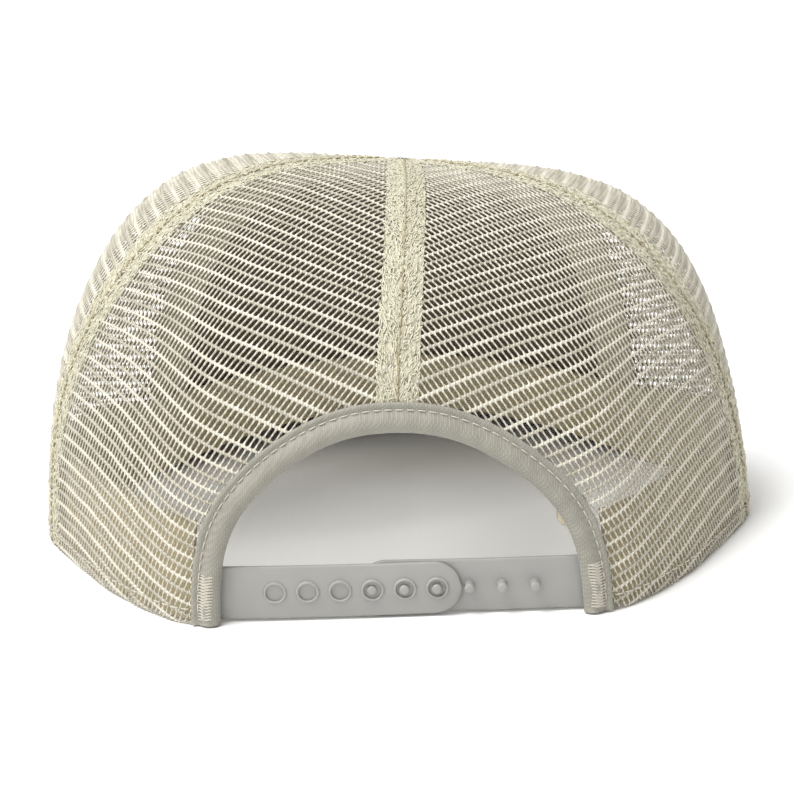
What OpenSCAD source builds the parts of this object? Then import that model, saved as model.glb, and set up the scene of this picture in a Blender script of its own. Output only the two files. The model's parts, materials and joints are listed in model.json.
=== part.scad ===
/* [Head opening] */
// Distance from the middle of the head opening back to the strap
rear_y = 81; // [76:0.5:88]
// Distance from the middle of the head opening forward to the front rim
front_y = 83; // [78:0.5:102]
// Half of the greatest width of the rim
half_w = 104; // [96:0.5:126]
// Place along Y where the rim is widest
wide_y = -2; // [-10:1:6]
// Half width of the rear stretch that the strap closes
flat_x = 61; // [58:0.5:64]
// How far that rear stretch bows outwards
rear_bow = 3.5; // [2:0.5:6]
// Rise of the middle of the front rim, which follows the visor's camber
front_rise = 12; // [6:0.5:16]

/* [Crown] */
// Height of the crown at the meeting point of the panels
crown_h = 108; // [95:1:132]
// How much higher the crown stands out at its shoulders, towards half_w
shoulder_rise = 14; // [0:1:18]
// Place along Y of the meeting point of the panels
apex_y = -28; // [-34:1:-20]
// Angle from the rear at which the rear and side panels meet
rear_seam_a = 65; // [58:1:72]
// Angle from the rear at which the side and front panels meet
front_seam_a = 113; // [106:1:120]
// Thickness of the mesh
mesh_t = 1; // [0.8:0.1:1.4]
// Thickness of the front panel's face fabric
cover_t = 0.8; // [0.5:0.1:1.2]
// Thickness of the foam behind the front panel's face
foam_t = 2.6; // [2:0.1:4]
// Width of the tape over each seam
tape_w = 12; // [9:0.5:14]
// Thickness of the seam tape
tape_t = 0.5; // [0.4:0.1:0.8]

/* [Rear arch] */
// Half width of the clear rear opening
arch_w = 50; // [42:0.5:51]
// Height of the clear rear opening above the rim
arch_h = 54; // [46:0.5:65]
// Width of the binding sewn round the opening
bind_w = 8; // [6:0.5:9]
// Thickness of one ply of the binding
bind_t = 0.6; // [0.4:0.1:0.8]

/* [Sweatband] */
// Height of the sweatband
band_h = 28; // [22:1:34]
// Thickness of the sweatband's fabric
band_t = 0.9; // [0.6:0.1:1.2]
// Thickness of the padding behind the sweatband's front stretch
pad_t = 1.2; // [0.8:0.1:2]

/* [Visor] */
// Length of the visor from the front rim
visor_l = 70; // [60:1:84]
// Half width of the visor
visor_half = 82; // [78:0.5:84]
// Thickness of the visor's stiff board
board_t = 1.8; // [1.4:0.1:2.4]
// Thickness of each visor cover
visor_cover_t = 0.7; // [0.5:0.1:1]

/* [Snap strap] */
// Height of the strap
strap_h = 15.5; // [12:0.5:18]
// Thickness of each strap half
strap_t = 1.3; // [1:0.1:1.6]
// Distance between neighbouring snap holes
snap_pitch = 9; // [8:0.1:9.4]
// Number of holes, and of pegs
snap_count = 6; // [4:1:6]
// Number of pegs that are snapped into holes
snapped = 3; // [2:1:4]
// Diameter of each snap hole
hole_d = 5; // [4:0.1:6]
// Diameter of each peg
peg_d = 2.8; // [2:0.1:3.4]
// Length of each peg
peg_l = 3.3; // [3:0.1:4]

/* [Label] */
// Height of the blank label's free tab
label_h = 9; // [6:0.5:12]
// How far the label's tab reaches out from its sewn edge
label_l = 8; // [6:0.5:10]

/* [Hidden] */

// Curve exponents of the rim's front half, the crown's profile, its rounder top, the arch and the visor
front_n = 2;
prof_n = 3.2;
top_n = 1.7;
arch_n = 2.7;
visor_n = 2.5;
// Plan size of the crown's rounder top against the rim
top_scale = 0.895;
// Share by which the crown's height grows with each millimetre towards the rear
rear_lift = 0.001;
// Length of the rounded corner at each end of the strap, and how straight the side behind it is
corner_l = 10;
side_k = 0.2;
// Gap between pieces of one body, and between a strap half or the label and its neighbours
gap = 0.2;
free_gap = 0.3;
// Gap that covers the flats of neighbouring curved layers
layer_gap = 0.45;

// Angles up the crown: the grid rows of the panels, closer over the shoulder, and the tapes' upper end
panel_rows = [0, 3.5, 7, 14, 21, 27, 32, 37, 42, 47, 52, 58, 65, 73, 81, 89.4];
tape_end = 75;
// Rows of a column that begins at height angle start
top_row = panel_rows[len(panel_rows) - 1];
function row_h(start, row) = start + (top_row - start) * row / top_row;

// Rim outline of one half, from the rear to the front
side_x0 = flat_x - corner_l;
function rear_edge(x) = rear_y - rear_bow * (x / flat_x) ^ 2;
function bez(a, b, c, t) = (1 - t) ^ 2 * a + 2 * t * (1 - t) * b + t ^ 2 * c;
k0 = [side_x0, rear_edge(side_x0)];
k1 = [flat_x, rear_edge(flat_x)];
k3 = [half_w, wide_y + side_k * (rear_y - wide_y)];
k2 = k1 + (k3 - k1) * corner_l / norm(k3 - k1);
k4 = [half_w, wide_y];
rim_half = concat(
    [for (i = [0:6]) let (x = side_x0 * i / 7) [x, rear_edge(x)]],
    [for (i = [0:5]) bez(k0, k1, k2, i / 5)],
    [for (i = [1:8]) bez(k2, k3, k4, i / 8)],
    [for (a = [5:5:90]) [half_w * cos(a) ^ (2 / front_n),
                         wide_y - (wide_y + front_y) * sin(a) ^ (2 / front_n)]]);
rim_table = [for (p = rim_half) [atan2(p.x, p.y - apex_y), norm([p.x, p.y - apex_y])]];

// Radii from the apex at an angle from the rear: the rim, and the rounder plan of the top
function turn(a) = abs(a > 180 ? a - 360 : a);
function rim_r(a) = lookup(turn(a), rim_table);
function top_depth(a) = (turn(a) < 90 ? rear_y - apex_y : front_y + apex_y) * top_scale;
function top_r(a) = ((abs(sin(a)) / (half_w * top_scale)) ^ top_n
                     + (abs(cos(a)) / top_depth(a)) ^ top_n) ^ (-1 / top_n);
function smooth(t) = let (c = max(0, min(1, t))) c * c * (3 - 2 * c);

// Camber of the visor and of the front rim across the width
camber_x = 86;
function camber(x) = front_rise * max(0, 1 - (x / camber_x) ^ 2) ^ 1.5;

// Point of the crown's outer face at angle a from the rear and angle h up the profile
function prof_q(h) = (cos(h) ^ prof_n + sin(h) ^ prof_n) ^ (1 / prof_n);
function face(a, h) =
    let (out = cos(h) / prof_q(h), up = sin(h) / prof_q(h),
         r = ((1 - up ^ 2) * rim_r(a) + up ^ 2 * top_r(a)) * out,
         x = r * sin(a), y = apex_y + r * cos(a),
         rise = camber(rim_r(a) * sin(a)) * smooth(-cos(a) / 0.35))
    [x, y, (crown_h + shoulder_rise * (x / half_w) ^ 2) * up * (1 + rear_lift * y) + rise * (1 - up)];
function outward(a, h) =
    let (n = cross(face(a, min(h + 1, 90)) - face(a, max(h - 1, 0)), face(a + 2, h) - face(a - 2, h)),
         m = h < 1 ? [n.x, n.y, 0] : n)
    m / norm(m);
function crown(a, h, off = 0) = off == 0 ? face(a, h) : face(a, h) + off * outward(a, h);

// Angle up the profile at the rear for a height, and angle from the rear for a half width
height_table = [for (h = [0:1:45]) [face(0, h).z, h]];
function up_of(z) = lookup(z, height_table);
function turn_of(x) = atan2(x, rear_edge(x) - apex_y);

// Layers of the crown, counted inwards from its outer face
foam_in = cover_t + gap + foam_t;
side_tape_in = mesh_t + layer_gap;
front_tape_in = foam_in + layer_gap;
side_band_in = side_tape_in + tape_t + layer_gap;
pad_in = foam_in + layer_gap;
front_band_in = pad_in + pad_t + gap;

// Closed thin solid between two point grids, each a list of columns of points
function grid_faces(nc, nr, base, turned) =
    [for (i = [0:nc - 2]) for (j = [0:nr - 2])
        let (p = base + i * nr + j, q = p + nr)
        each turned ? [[p, q + 1, q], [p, p + 1, q + 1]] : [[p, q, q + 1], [p, q + 1, p + 1]]];
function edge_faces(path, other, turned) =
    [for (i = [0:len(path) - 2])
        each turned ? [[path[i], other[i + 1], path[i + 1]], [path[i], other[i], other[i + 1]]]
                    : [[path[i], path[i + 1], other[i + 1]], [path[i], other[i + 1], other[i]]]];
module thin_solid(outer, inner) {
    nc = len(outer);
    nr = len(outer[0]);
    n = nc * nr;
    low = [for (i = [0:nc - 1]) i * nr];
    high = [for (i = [0:nc - 1]) i * nr + nr - 1];
    first = [for (j = [0:nr - 1]) j];
    last = [for (j = [0:nr - 1]) (nc - 1) * nr + j];
    points = concat([for (c = outer) each c], [for (c = inner) each c]);
    faces = concat(grid_faces(nc, nr, 0, false), grid_faces(nc, nr, n, true),
                   edge_faces(low, [for (k = low) k + n], true),
                   edge_faces(high, [for (k = high) k + n], false),
                   edge_faces(first, [for (k = first) k + n], false),
                   edge_faces(last, [for (k = last) k + n], true));
    polyhedron(points, faces, convexity = 8);
}

// Column angle moved off a seam by half the seam gap, more in degrees near the apex
function off_seam(a, h, side) = a + side * gap / 2 / max(1, rim_r(a) * cos(h)) * 180 / PI;

// Panel between two seams; starts[i] is the height angle at which column i begins
module panel(angles, starts, out, in) {
    count = len(angles);
    function col_a(i, h) = i == 0 ? off_seam(angles[0], h, 1)
                         : i == count - 1 ? off_seam(angles[count - 1], h, -1) : angles[i];
    function layer(off) = [for (i = [0:count - 1]) [for (row = panel_rows)
        let (h = row_h(starts[i], row)) crown(col_a(i, h), h, off)]];
    thin_solid(layer(-out), layer(-in));
}
function spread(a, b, n) = [for (i = [0:n]) a + (b - a) * i / n];
function zeros(list) = [for (i = list) 0];

side_angles = spread(rear_seam_a, front_seam_a, 8);
front_angles = spread(front_seam_a, 360 - front_seam_a, 20);

module side_panel() {
    color("ivory") panel(side_angles, zeros(side_angles), 0, mesh_t);
}

// Edge of the rear opening grown outwards by s, as [angle, height angle] at 0 to 180 degrees round it
function arch_a(s, t) = turn_of(arch_w + s) * sign(cos(t)) * abs(cos(t)) ^ (2 / arch_n);
function arch_u(s, t) = up_of(arch_h + s) * sin(t) ^ (2 / arch_n);

// The mesh ends inside the fold of the binding, whose plies lie this far from it
mesh_edge = 1.6;
bind_gap = 0.3;
bind_in = mesh_t + bind_gap + bind_t;
arch_steps = [90, 80, 70, 60, 50, 41, 32, 23, 14, 6, 0];

module rear_panel() {
    over_arch = [for (t = arch_steps) arch_a(mesh_edge, t)];
    corner_a = turn_of(flat_x) + 2;
    beside = concat(spread(turn_of(arch_w + mesh_edge), corner_a, 5), spread(corner_a, rear_seam_a, 6));
    past = [for (a = beside) if (a > over_arch[len(over_arch) - 1] && a != corner_a) a];
    angles = concat(over_arch, past);
    starts = concat([for (t = arch_steps) arch_u(mesh_edge, t)], zeros(past));
    color("ivory") panel(angles, starts, 0, mesh_t);
}

module front_panel_cover() {
    color("saddlebrown") panel(front_angles, zeros(front_angles), 0, cover_t);
}
module front_panel_foam() {
    color("dimgray") panel(front_angles, zeros(front_angles), cover_t + gap, foam_in);
}
module side_mesh_left() { side_panel(); }
module side_mesh_right() { mirror([1, 0, 0]) side_panel(); }
module rear_mesh_left() { rear_panel(); }
module rear_mesh_right() { mirror([1, 0, 0]) rear_panel(); }

// Tape along a seam, on the inside of the crown, from height angle from on panels that begin at start
module seam_tape(a, start, from, in) {
    above = [for (row = panel_rows) let (h = row_h(start, row)) if (h > from && h < tape_end) h];
    rows = concat([from], above, [tape_end]);
    function across(h, k) = a + k * tape_w / 2 / norm([face(a, h).x, face(a, h).y - apex_y]) * 180 / PI;
    function layer(off) = [for (k = [-1, 0, 1]) [for (h = rows) crown(across(h, k), h, -off)]];
    color("wheat") thin_solid(layer(in), layer(in + tape_t));
}
module centre_back_tape() {
    seam_tape(0, up_of(arch_h + mesh_edge), up_of(arch_h + bind_w + gap), side_tape_in);
}
module rear_seam_tape_left() { seam_tape(rear_seam_a, 0, 0, side_tape_in); }
module rear_seam_tape_right() { seam_tape(-rear_seam_a, 0, 0, side_tape_in); }
module front_seam_tape_left() { seam_tape(front_seam_a, 0, 0, front_tape_in); }
module front_seam_tape_right() { seam_tape(-front_seam_a, 0, 0, front_tape_in); }

// Sweatband round the inside, from one side of the rear opening to the other
band_start = turn_of(arch_w + bind_w) + 1.5;
band_top = up_of(band_h);
band_ease = 14;
function band_in(a) = side_band_in + (front_band_in - side_band_in)
                      * smooth((turn(a) - front_seam_a + band_ease) / (band_ease - 6));
module band_layer(from, to, steps, low, high, out_of, thick) {
    angles = spread(from, to, steps);
    rows = spread(low, high, 3);
    function layer(extra) = [for (a = angles) [for (h = rows) crown(a, h, -(out_of(a) + extra))]];
    thin_solid(layer(0), layer(thick));
}
module sweatband() {
    color("antiquewhite")
        band_layer(band_start, 360 - band_start, 60, 0, band_top, function (a) band_in(a), band_t);
}
module sweatband_padding() {
    pad_start = front_seam_a + 10;
    color("white")
        band_layer(pad_start, 360 - pad_start, 24, 1, band_top - 1, function (a) pad_in, pad_t);
}

// Binding folded round the edge of the rear opening
module arch_binding() {
    inner_in = mesh_t + bind_gap;
    nose = -mesh_t / 2;
    slot = mesh_edge - gap;
    // Across the fold: [width from the opening, offset from the outer face] of both skins
    skin_out = [[bind_w, bind_gap + bind_t], [bind_w / 2, bind_gap + bind_t], [0.5, bind_gap + bind_t * 0.6],
                [0, nose], [0.5, -inner_in - bind_t * 0.6], [bind_w / 2, -inner_in - bind_t],
                [bind_w, -inner_in - bind_t]];
    skin_in = [[bind_w, bind_gap], [bind_w / 2, bind_gap], [slot, bind_gap], [slot, nose], [slot, -inner_in],
               [bind_w / 2, -inner_in], [bind_w, -inner_in]];
    steps = concat([for (t = arch_steps) 180 - t], []);
    turns = concat([for (i = [0:len(arch_steps) - 1]) arch_steps[len(arch_steps) - 1 - i]],
                   [for (i = [1:len(arch_steps) - 1]) steps[i]]);
    function skin(s) = [for (t = turns) [for (p = s) crown(arch_a(p[0], t), arch_u(p[0], t), p[1])]];
    color("beige") thin_solid(skin(skin_out), skin(skin_in));
}

// Both strap halves are arcs that follow the bow of the rear rim
strap_r = (flat_x ^ 2 + rear_bow ^ 2) / (2 * rear_bow);
strap_z = gap;
strap_top = strap_z + strap_h;
strap_mid = strap_z + strap_h / 2;
// The hole half turns about its fold, just clear of the opening's edge at the strap's top
fold_x = arch_w * (1 - (strap_top / arch_h) ^ arch_n) ^ (1 / arch_n) - 1;
root_x = fold_x + 5;
// The strap's roots lie just inside the binding at their top corner, and turn freely there
root_gap = 0.6;
strap_in = rear_edge(root_x) - crown(turn_of(root_x), up_of(strap_top), -(bind_in + root_gap)).y;
hole_x0 = -10;
hole_xs = [for (i = [0:snap_count - 1]) hole_x0 + i * snap_pitch];
peg_xs = [for (i = [0:snap_count - 1]) hole_x0 + (snapped - 1 - i) * snap_pitch];
ring_w = 0.6;
ring_h = 0.5;
// The peg half leans inwards from its root, so that it passes behind the hole half
peg_lean = asin((strap_t + gap) / (root_x + hole_x0 - strap_h / 2));

function strap_y(x) = rear_y - strap_in - strap_r + sqrt(strap_r ^ 2 - x ^ 2);
module strap_shell() {
    translate([0, rear_y - strap_in - strap_r, strap_z - 1])
        rotate([0, 0, 70])
            rotate_extrude(angle = 40, $fn = 360)
                translate([strap_r - strap_t, 0]) square([strap_t, strap_h + 2]);
}
// Outline of one half seen from behind: straight from x0 at the root to a round end at x1
module strap_outline(x0, x1) {
    toward = sign(x1 - x0);
    round_end = [for (i = [0:16]) let (t = -90 + i * 180 / 16)
        [x1 + toward * strap_h / 2 * cos(t), strap_mid + strap_h / 2 * sin(t)]];
    rotate([90, 0, 0])
        linear_extrude(height = 4 * rear_y, center = true)
            polygon(concat([[x0, strap_top], [x0, strap_z]], round_end));
}
module across_strap(x, d, from, to) {
    translate([x, strap_y(x) + from, strap_mid])
        rotate([-90, 0, 0]) cylinder(d = d, h = to - from, $fn = 48);
}
module snap_strap_holes() {
    end_x = hole_x0 + 1;
    color("gainsboro") difference() {
        union() {
            intersection() {
                strap_shell();
                strap_outline(root_x, end_x);
            }
            for (x = hole_xs) across_strap(x, hole_d + 2 * ring_w, -strap_t / 2, ring_h);
        }
        for (x = hole_xs) across_strap(x, hole_d, -2 * strap_t, 2 * strap_t);
    }
}
module snap_strap_pegs() {
    end_x = peg_xs[0] - 4;
    color("gainsboro")
        translate([-root_x, strap_y(root_x), 0]) rotate([0, 0, -peg_lean])
            translate([root_x, -strap_y(root_x), 0]) union() {
                intersection() {
                    strap_shell();
                    strap_outline(-root_x, end_x);
                }
                for (x = peg_xs) across_strap(x, peg_d, -strap_t / 2, peg_l);
            }
}

// Block of stitches on the leg of the binding, which sews the root of a strap half to it
module strap_tack(side) {
    tack_w = 2.4;
    tack_t = 0.5;
    tack_x = side * (arch_w + bind_w / 2 - 1);
    tack_out = bind_gap + bind_t + gap;
    rows = spread(up_of(2), up_of(strap_top - 3), 3);
    function layer(off) = [for (k = [-0.5, 0.5]) [for (h = rows)
        crown(turn_of(tack_x + k * tack_w), h, off)]];
    color("white") thin_solid(layer(tack_out + tack_t), layer(tack_out));
}
module strap_tack_left() { strap_tack(1); }
module strap_tack_right() { strap_tack(-1); }

// Visor: columns run from the front rim to the visor's edge
visor_start = 112;
visor_side_y = -64;
function visor_point(v, w, grow, in_gap) =
    let (a = 180 - v * (180 - visor_start), rim = crown(a, 0, in_gap),
         t = v * 90, half = visor_half + grow, reach = front_y + visor_l + visor_side_y + grow,
         ex = half * sign(v) * abs(sin(t)) ^ (2 / visor_n),
         ey = visor_side_y - reach * cos(t) ^ (2 / visor_n),
         x = rim.x + (ex - rim.x) * w, y = rim.y + (ey - rim.y) * w)
    [x, y];
module visor_layer(low, thick, grow) {
    columns = spread(1, -1, 28);
    rows = spread(0, 1, 5);
    function layer(z) = [for (v = columns) [for (w = rows)
        let (p = visor_point(v, w, grow, free_gap)) [p.x, p.y, camber(p.x) + z]]];
    thin_solid(layer(low + thick), layer(low));
}
board_low = visor_cover_t + gap / 2;
top_low = board_low + board_t + gap / 2;
module visor_under_cover() { color("saddlebrown") visor_layer(0, visor_cover_t, 0.6); }
module visor_board() { color("white") visor_layer(board_low, board_t, 0); }
module visor_top_cover() { color("saddlebrown") visor_layer(top_low, visor_cover_t, 0.6); }

// Blank label, sewn behind the binding, whose free tab shows in the opening
module blank_label() {
    label_t = 0.5;
    label_z = 24;
    sewn_x = -(arch_w + 2);
    label_y = crown(turn_of(sewn_x), up_of(label_z + label_h), -(bind_in + free_gap)).y;
    color("cornsilk") translate([sewn_x, label_y, label_z]) rotate([90, 0, 0])
        linear_extrude(height = label_t) {
            square([label_l - 2, label_h]);
            translate([0, 2]) square([label_l, label_h - 4]);
            for (z = [2, label_h - 2]) translate([label_l - 2, z]) circle(r = 2, $fn = 24);
        }
}

front_panel_cover();
front_panel_foam();
side_mesh_left();
side_mesh_right();
rear_mesh_left();
rear_mesh_right();
centre_back_tape();
rear_seam_tape_left();
rear_seam_tape_right();
front_seam_tape_left();
front_seam_tape_right();
sweatband();
sweatband_padding();
arch_binding();
snap_strap_holes();
snap_strap_pegs();
strap_tack_left();
strap_tack_right();
visor_board();
visor_top_cover();
visor_under_cover();
blank_label();
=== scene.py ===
import json
import math
import bpy
import bmesh
import numpy as np
from mathutils import Matrix, Vector


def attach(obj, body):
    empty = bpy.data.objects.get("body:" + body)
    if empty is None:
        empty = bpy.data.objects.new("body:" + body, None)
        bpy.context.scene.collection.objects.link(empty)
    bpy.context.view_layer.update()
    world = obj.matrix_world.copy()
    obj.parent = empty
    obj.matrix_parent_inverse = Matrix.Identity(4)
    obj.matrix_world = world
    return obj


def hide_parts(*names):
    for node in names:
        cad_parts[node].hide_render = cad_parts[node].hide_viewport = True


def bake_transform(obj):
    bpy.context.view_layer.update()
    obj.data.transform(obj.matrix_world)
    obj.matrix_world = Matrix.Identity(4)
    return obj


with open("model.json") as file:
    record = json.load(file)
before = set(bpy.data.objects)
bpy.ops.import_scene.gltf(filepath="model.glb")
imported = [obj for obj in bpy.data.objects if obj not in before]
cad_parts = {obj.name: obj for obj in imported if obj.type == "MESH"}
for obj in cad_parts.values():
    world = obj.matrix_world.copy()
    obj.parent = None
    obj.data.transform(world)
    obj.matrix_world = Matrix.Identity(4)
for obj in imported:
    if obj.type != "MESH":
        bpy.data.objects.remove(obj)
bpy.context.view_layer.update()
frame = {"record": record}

# ---- Front panel ----------------------------------------------------------------------------
# One wide panel over the forehead: brushed cotton twill laid over a sheet of foam with a knitted
# back, both cut to the cap block and sewn to the side panels along the two front seams.
# The block's sizes are in millimetres: its rim in plan, then its heights and its curves.
REAR_Y, FRONT_Y, HALF_W, WIDE_Y, APEX_Y = 81.0, 83.0, 104.0, -2.0, -28.0
FLAT_X, BOW, CORNER, CROWN_H, SHOULDER, FRONT_RISE = 61.0, 3.5, 10.0, 108.0, 14.0, 12.0
RISE_HALF_W, TOP_SCALE, PROFILE_POWER, TOP_POWER = 86.0, 0.895, 3.2, 1.7
# The panels stop this many degrees up the profile, just short of the apex.
NEAR_TOP = 89.4


def rear_edge(x):
    return REAR_Y - BOW * (x / FLAT_X) ** 2


def bend(a, b, c, t):
    return (1 - t) ** 2 * a + 2 * t * (1 - t) * b + t * t * c


corner_0 = np.array([FLAT_X - CORNER, rear_edge(FLAT_X - CORNER)])
corner_1 = np.array([FLAT_X, rear_edge(FLAT_X)])
side_3 = np.array([HALF_W, WIDE_Y + 0.2 * (REAR_Y - WIDE_Y)])
corner_2 = corner_1 + (side_3 - corner_1) * CORNER / np.linalg.norm(side_3 - corner_1)
side_4 = np.array([HALF_W, WIDE_Y])
rim = np.array(
    [[corner_0[0] * i / 7, rear_edge(corner_0[0] * i / 7)] for i in range(7)]
    + [bend(corner_0, corner_1, corner_2, i / 5) for i in range(6)]
    + [bend(corner_2, side_3, side_4, i / 8) for i in range(1, 9)]
    + [[HALF_W * math.cos(math.radians(t)), WIDE_Y - (WIDE_Y + FRONT_Y) * math.sin(math.radians(t))]
       for t in range(5, 91, 5)])
rim_turn = np.degrees(np.arctan2(rim[:, 0], rim[:, 1] - APEX_Y))
rim_radius = np.hypot(rim[:, 0], rim[:, 1] - APEX_Y)


def smooth(t):
    t = np.clip(t, 0, 1)
    return t * t * (3 - 2 * t)


def camber(x):
    """Rise of the front rim, which the visor follows."""
    return FRONT_RISE * np.maximum(0, 1 - (x / RISE_HALF_W) ** 2) ** 1.5


def turned(a):
    """Degrees away from the rear, the same on both sides."""
    return np.abs((np.asarray(a, float) + 180) % 360 - 180)


def block(a, h):
    """Point of the cap block at a degrees round from the rear and h degrees up the profile.

    The seams aren't quite in planes through the apex, so the angle leans with the height.
    """
    a, h = np.broadcast_arrays(np.asarray(a, float), np.asarray(h, float))
    t = turned(a)
    lean = 5 * np.sin(np.pi * np.clip(t / 113, 0, 1) ** 1.25) * smooth((h - 22) / 35)
    lean = lean - 6 * np.exp(-((t - 65) / 14) ** 2) * (1 - smooth((h - 8) / 35))
    side = np.where(np.mod(a, 360) > 180, -1, 1)
    t = t - lean
    ra, rh = np.radians(a - side * lean), np.radians(h)
    c, s = np.abs(np.cos(rh)), np.abs(np.sin(rh))
    q = (c ** PROFILE_POWER + s ** PROFILE_POWER) ** (1 / PROFILE_POWER)
    out, up = c / q, s / q
    depth = np.where(t < 90, REAR_Y - APEX_Y, FRONT_Y + APEX_Y) * TOP_SCALE
    top = ((np.abs(np.sin(ra)) / (HALF_W * TOP_SCALE)) ** TOP_POWER
           + (np.abs(np.cos(ra)) / depth) ** TOP_POWER) ** (-1 / TOP_POWER)
    low = np.interp(t, rim_turn, rim_radius)
    r = ((1 - up ** 2) * low + up ** 2 * top) * out
    y = APEX_Y + r * np.cos(ra)
    rise = camber(low * np.sin(ra)) * smooth(-np.cos(ra) / 0.35)
    high = CROWN_H + SHOULDER * (r * np.sin(ra) / HALF_W) ** 2
    return np.stack([r * np.sin(ra), y, high * up * (1 + 0.001 * y) + rise * (1 - up)], -1)


def worn(p):
    """The cap's soft set: the rim's corners stand out, the top leans aside and its front sinks."""
    x, y, z = p[..., 0], p[..., 1], p[..., 2]
    w = np.clip(z, 0, None)
    high = np.clip(w / CROWN_H, 0, 1)
    a = np.degrees(np.arctan2(x, y - APEX_Y))
    corners, middle = np.exp(-((np.abs(a) - 44.4) / 12) ** 2), np.exp(-(a / 20) ** 2)
    out = (2.25 * corners - 1.15 * middle) * np.exp(-(w / 25) ** 2)
    wide = (x + out * np.sin(np.radians(a))) * (1 + 0.0145 * np.exp(-(w / 48.3) ** 2))
    wide = wide + 1.7 * smooth(w / 60) - 0.0101 * x * np.sin(np.pi * high) - 7.0 * high ** 2
    sunk = 9 * (1 - np.exp(-np.clip(APEX_Y - y, 0, None) / 22)) * smooth(w / 70)
    lift = (9.34 * x / 100 + 0.5) * (w / CROWN_H) ** 2 - sunk
    return np.stack([wide, y + out * np.cos(np.radians(a)), z + lift], -1)


def facing(a, h):
    """Direction straight out of the block; level at the rim."""
    n = np.cross(block(a, np.minimum(h + 1, 90)) - block(a, np.maximum(h - 1, 0)),
                 block(a + 2, h) - block(a - 2, h))
    n[..., 2] = np.where(h < 1, 0, n[..., 2])
    return n / np.linalg.norm(n, axis=-1, keepdims=True)


def crown(a, h, out=0.0):
    """Point that lies out millimetres outside the block."""
    a, h, out = np.broadcast_arrays(*(np.asarray(v, float) for v in (a, h, out)))
    return worn(block(a, h) + out[..., None] * facing(a, h))


heights = np.arange(0, 60, 0.5)
block_z = block(0, heights)[:, 2]


def up_of(z):
    """Degrees up the profile of the height z at the rear."""
    return np.interp(z, block_z, heights)


def turn_of(x):
    """Degrees round of the point x from the middle of the rear rim."""
    return np.degrees(np.arctan2(x, rear_edge(x) - APEX_Y))


def quads(nu, nv, first=0, turn=False, closed=False):
    """Faces of a grid of nu rows by nv points, or of a tube if it is closed."""
    i, j = np.arange(nu - 1)[:, None], np.arange(nv if closed else nv - 1)[None, :]
    k = (j + 1) % nv
    q = np.stack([i * nv + j, i * nv + k, (i + 1) * nv + k, (i + 1) * nv + j], -1)
    q = q.reshape(-1, 4) + first
    return q[:, ::-1] if turn else q


def piece(name, points, faces, finish, body="cap", flat=None):
    """Mesh of points in millimetres, with a slot for its finish, that moves with a body of the cap."""
    mesh = bpy.data.meshes.new(name)
    mesh.from_pydata((np.asarray(points) * 0.001).tolist(), [], [list(map(int, f)) for f in faces])
    if flat is not None:
        layer = mesh.uv_layers.new(name="flat")
        corner = np.empty(len(mesh.loops), int)
        mesh.loops.foreach_get("vertex_index", corner)
        layer.data.foreach_set("uv", np.asarray(flat, float)[corner].ravel())
    mesh.polygons.foreach_set("use_smooth", [True] * len(mesh.polygons))
    mesh.materials.append(finish)
    mesh.update()
    obj = bpy.data.objects.new(name, mesh)
    bpy.context.collection.objects.link(obj)
    if body:
        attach(obj, body)
    return obj


def slab(outer, inner):
    """Points and faces of a closed thin layer between two grids."""
    nu, nv = outer.shape[:2]
    n = nu * nv
    points = np.concatenate([outer.reshape(-1, 3), inner.reshape(-1, 3)])
    edge = ([(i * nv, (i + 1) * nv) for i in range(nu - 1)]
            + [((i + 1) * nv + nv - 1, i * nv + nv - 1) for i in range(nu - 1)]
            + [(j + 1, j) for j in range(nv - 1)]
            + [((nu - 1) * nv + j, (nu - 1) * nv + j + 1) for j in range(nv - 1)])
    faces = list(quads(nu, nv, 0, True)) + list(quads(nu, nv, n))
    faces += [(a, b, b + n, a + n) for a, b in edge]
    return points, faces


def linear(colour):
    """Linear colour of an sRGB hex value."""
    parts = [int(colour[i:i + 2], 16) / 255 for i in (1, 3, 5)]
    return tuple(v / 12.92 if v <= 0.04045 else ((v + 0.055) / 1.055) ** 2.4 for v in parts) + (1.0,)


def add(finish, kind, sockets=None, **settings):
    """Adds a node to a finish: settings are its own, sockets are numbers or other nodes' outputs."""
    made = finish.node_tree.nodes.new("ShaderNode" + kind)
    for key, value in settings.items():
        setattr(made, key, value)
    for key, value in (sockets or {}).items():
        if isinstance(value, bpy.types.NodeSocket):
            finish.node_tree.links.new(value, made.inputs[key])
        else:
            made.inputs[key].default_value = value
    return made


def surface(name, **sockets):
    """New finish, with its shader's own sockets set."""
    finish = bpy.data.materials.new(name)
    finish.use_nodes = True
    shader = finish.node_tree.nodes["Principled BSDF"]
    for key, value in sockets.items():
        shader.inputs[key.replace("_", " ")].default_value = value
    return finish, shader


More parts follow.
